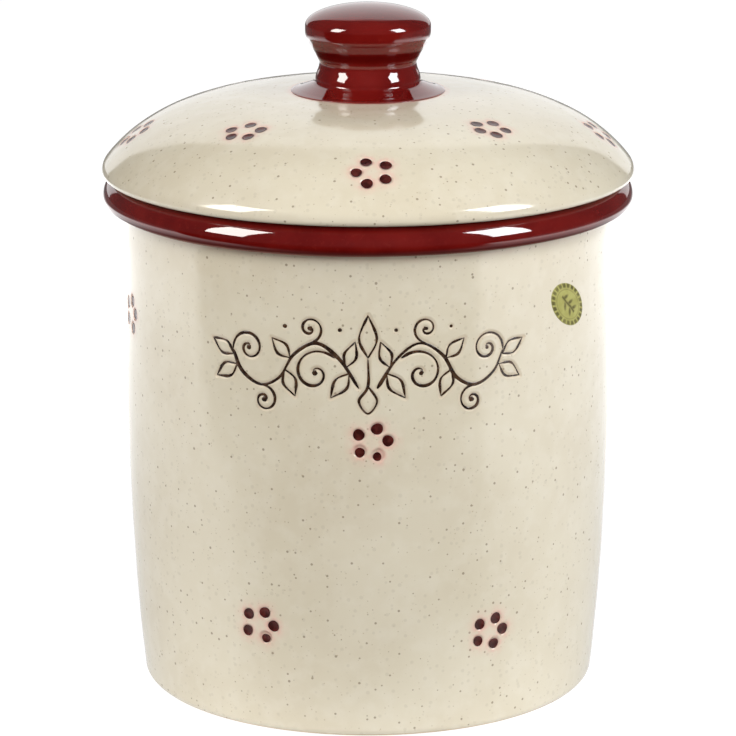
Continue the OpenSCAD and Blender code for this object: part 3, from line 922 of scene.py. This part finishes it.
# The knob was turned on its own, hollow, and luted into a hole in the lid: a spread foot, a
# waist that the fingers close round, and a domed cap. It is dipped in the red glaze.
knob_height = 35.0
knob_side = [
    (28.2, 0.95), (25.6, 1.9), (23.6, 2.7), (22.2, 3.3), (21.45, 3.9), (21.2, 4.6), (21.1, 5.6), (20.65, 7.4),
    (20.0, 9.0), (19.65, 10.3), (19.5, 11.4), (19.7, 12.4), (20.2, 13.2), (20.7, 14.4), (21.25, 15.6), (22.0, 16.8), (22.8, 18.0),
    (23.4, 19.2), (23.85, 20.3), (24.3, 21.2), (24.75, 21.9), (25.05, 22.8), (25.2, 24.2), (25.2, 26.5),
]
knob_outline = np.concatenate([
    [[9.0, -7.0], [13.0, -7.0], [13.0, -0.4], [13.6, 0.0], [30.8, 0.0], [31.0, 0.12], [30.9, 0.26], [29.8, 0.5]],
    bent(knob_side, 5),
    curve((0, 26.5), (25.2, 8.49), 0, 90, 30)[1:],
])
knob_hollow = np.concatenate([curve((0, 15), (9, 9), 90, 0, 10), [[9.0, 4.0], [9.0, -7.0]]])
knob_outline = np.concatenate([knob_outline, knob_hollow])
knob_outline[:, 1] += crock_height + land_height
knob_mesh = turned("Knob", knob_outline, 240)
points = corners_of(knob_mesh)
radius = np.hypot(points[:, 0], points[:, 1])
lift = points[:, 2] - crock_height - land_height
# The red thins to pink at the foot's edge. The pink line round the waist, just over its narrowest, is a painted
# highlight.
thin = 0.12 * np.exp(-(np.clip(knob_foot_radius - radius, 0, None) / 0.3) ** 2) * (lift > -0.5)
thin = np.maximum(thin, 0.14 * np.exp(-((lift - 12.6) / 0.35) ** 2) * (radius > 17))
to_metres(knob_mesh, points)
paint(knob_mesh, "thin", thin)
# Painted shade: the band under the cap's overhang is marked so that the red darkens and reflects less.
paint(knob_mesh, "painted_shade", np.exp(-((lift - 15.9) / 2.1) ** 4) * (radius > 15))
knob = piece("Knob", knob_mesh, "lid_body", rim_glaze)
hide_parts("knob")

# The pot stands on a bright white table before a white backdrop. A tall softbox on each side
# of the camera lights it, and the dim room round them shapes what the glaze reflects.
white_world = bpy.data.worlds.new("WhiteStudio")
bpy.context.scene.world = white_world
white_world.use_nodes = True
white_world.node_tree.nodes["Background"].inputs[0].default_value = (1, 1, 1, 1)
white_world.node_tree.nodes["Background"].inputs[1].default_value = 1.25
room_glow = 0.07


def glowing(name, colour, base=0.02):
    """A plain matt surface that gives off light."""
    finish, tree, shader = blank_finish(name)
    shader.inputs["Base Color"].default_value = (base, base, base, 1)
    shader.inputs["Roughness"].default_value = 0.9
    shader.inputs["Specular IOR Level"].default_value = 0.0
    shader.inputs["Emission Color"].default_value = (*colour, 1)
    shader.inputs["Emission Strength"].default_value = 1.0
    return finish


def lit_table(name, strength):
    """What the white table gives back, less along its dark front."""
    finish, tree, shader = blank_finish(name)
    lit = node(tree, "ShaderNodeAttribute", -600, 0, attribute_name="lit").outputs["Fac"]
    tree.links.new(times(tree, lit, strength, -200, -300), shader.inputs["Emission Strength"])
    shader.inputs["Emission Color"].default_value = (1, 1, 1, 1)
    shader.inputs["Base Color"].default_value = (0.02, 0.02, 0.02, 1)
    shader.inputs["Specular IOR Level"].default_value = 0.0
    return finish


def stage_mesh(name, corners, faces, finish):
    mesh = bpy.data.meshes.new(name)
    mesh.from_pydata(corners, [], faces)
    mesh.materials.append(finish)
    made = bpy.data.objects.new(name, mesh)
    bpy.context.scene.collection.objects.link(made)
    return made


def grid_faces(rows, columns):
    return [(i * columns + j, i * columns + j + 1, (i + 1) * columns + j + 1, (i + 1) * columns + j)
            for i in range(rows - 1) for j in range(columns - 1)]


near = np.linspace(-1, 1, 51)
table_x = np.concatenate([[-6, -3, -1.5], near, [1.5, 3, 6]])
table_y = np.concatenate([[-6, -3, -1.5], near, [1.5, 3, 8]])
table_points = np.array([(x, y, 0) for y in table_y for x in table_x])
front_edge = np.interp(table_points[:, 0], [-1, -0.47, -0.34, -0.15, 0, 0.18, 0.37, 0.58, 1],
                       [-0.1, -0.16, -0.22, -0.16, -0.12, -0.16, -0.30, -0.50, -0.8])
lit = smooth_step((table_points[:, 1] - front_edge) / 0.1 + 0.5)
from_pot = np.hypot(table_points[:, 0], table_points[:, 1])
shine = lit * np.interp(from_pot, [0.15, 0.3, 0.55, 0.8, 0.95, 1.2], [0.4, 0.5, 0.8, 1.15, 1.0, 0.08])
table_faces = grid_faces(len(table_y), len(table_x))
table = stage_mesh("Table", [(-6, -6, 0), (6, -6, 0), (6, 8, 0), (-6, 8, 0)], [(0, 1, 2, 3)], glowing("WhiteTable", (0.88, 0.88, 0.88), 0.25))
table.visible_diffuse = table.visible_glossy = False
for name, strength, given in (("TableLight", 1.08, lit), ("TableShine", 2.0, shine)):
    sheet = stage_mesh(name, (table_points - [0, 0, 0.0005]).tolist(), table_faces, lit_table(name, strength))
    paint(sheet.data, "lit", given)
    sheet.visible_camera = sheet.visible_shadow = False
    sheet.visible_diffuse, sheet.visible_glossy = name == "TableLight", name == "TableShine"

room_steps = 48
backdrop_half, backdrop_top = 32.0, 59.0
room_points, room_lit = [], []
for share in np.linspace(0, 1, room_steps):
    for azimuth in np.linspace(-180, 180, 145):
        aside = min(abs(180 - abs(azimuth)) / backdrop_half, 1)
        low = max(backdrop_top * (1 - aside ** 4.5) ** 0.4 - 4, 0.0) - 3.0 * (aside == 1)
        angle = low + (90 - low) * share
        up, turn = math.radians(angle), math.radians(azimuth)
        room_points.append((4 * math.cos(up) * math.sin(turn), -4 * math.cos(up) * math.cos(turn), 0.15 + 4 * math.sin(up)))
        fade = 1 - float(smooth_step((angle - low) / 8)) if aside < 0.9 else 0.0
        room_lit.append(room_glow + 0.85 * fade)
room = stage_mesh("Room", room_points, grid_faces(room_steps, 145), lit_table("DimRoom", 1.0))
paint(room.data, "lit", room_lit)
room.visible_camera = False


def lamp(name, azimuth, height, distance, wide, high, power, tint=(1, 1, 1)):
    """A soft light aimed at the pot, for the matt colours only."""
    light = bpy.data.lights.new(name, "AREA")
    light.shape = "RECTANGLE"
    light.size, light.size_y = wide, high
    light.energy = power
    light.color = tint
    made = bpy.data.objects.new(name, light)
    bpy.context.scene.collection.objects.link(made)
    turn, up = math.radians(azimuth), math.radians(height)
    made.location = (distance * math.cos(up) * math.sin(turn), -distance * math.cos(up) * math.cos(turn),
                     0.17 + distance * math.sin(up))
    made.rotation_euler = (Vector((0, 0, 0.17)) - made.location).to_track_quat("-Z", "Y").to_euler()
    made.visible_glossy = False
    return made


for side, power, tint, shine in ((-1, 9.8, (1, 0.98, 0.95), (16.6, 16.0, 15.2)), (1, 12.2, (0.96, 0.98, 1), (18.0, 18.6, 19.4))):
    name = "SoftboxRight" if side > 0 else "SoftboxLeft"
    light = lamp(name, 63 * side, 32, 1.5, 0.68, 0.88, power, tint)
    x, y = 0.25, 0.44
    panel = stage_mesh(name + "Panel", [(-x, -y, 0), (x, -y, 0), (x, y, 0), (-x, y, 0)], [(3, 2, 1, 0)], glowing(name, shine))
    panel.location, panel.rotation_euler = light.location, light.rotation_euler
    panel.visible_camera = panel.visible_diffuse = panel.visible_shadow = False
lamp("FrontFill", 3, 24, 2.4, 1.6, 1.2, 44)

# The camera stands where the photograph's stood: 1.6 m off, looking a little down.
camera_distance, camera_pitch = 1.6, math.radians(14.396)
aim = Vector((0, 0, 0.12697))
camera = bpy.data.objects.new("Camera", bpy.data.cameras.new("Camera"))
bpy.context.scene.collection.objects.link(camera)
camera.data.lens = 3910.92 * 36 / 736
camera.data.clip_start, camera.data.clip_end = 0.05, 30
camera.location = aim + camera_distance * Vector((0, -math.cos(camera_pitch), math.sin(camera_pitch)))
camera.rotation_euler = (math.radians(90) - camera_pitch, 0, 0)
bpy.context.scene.camera = camera
bpy.context.scene.view_settings.view_transform = "Standard"
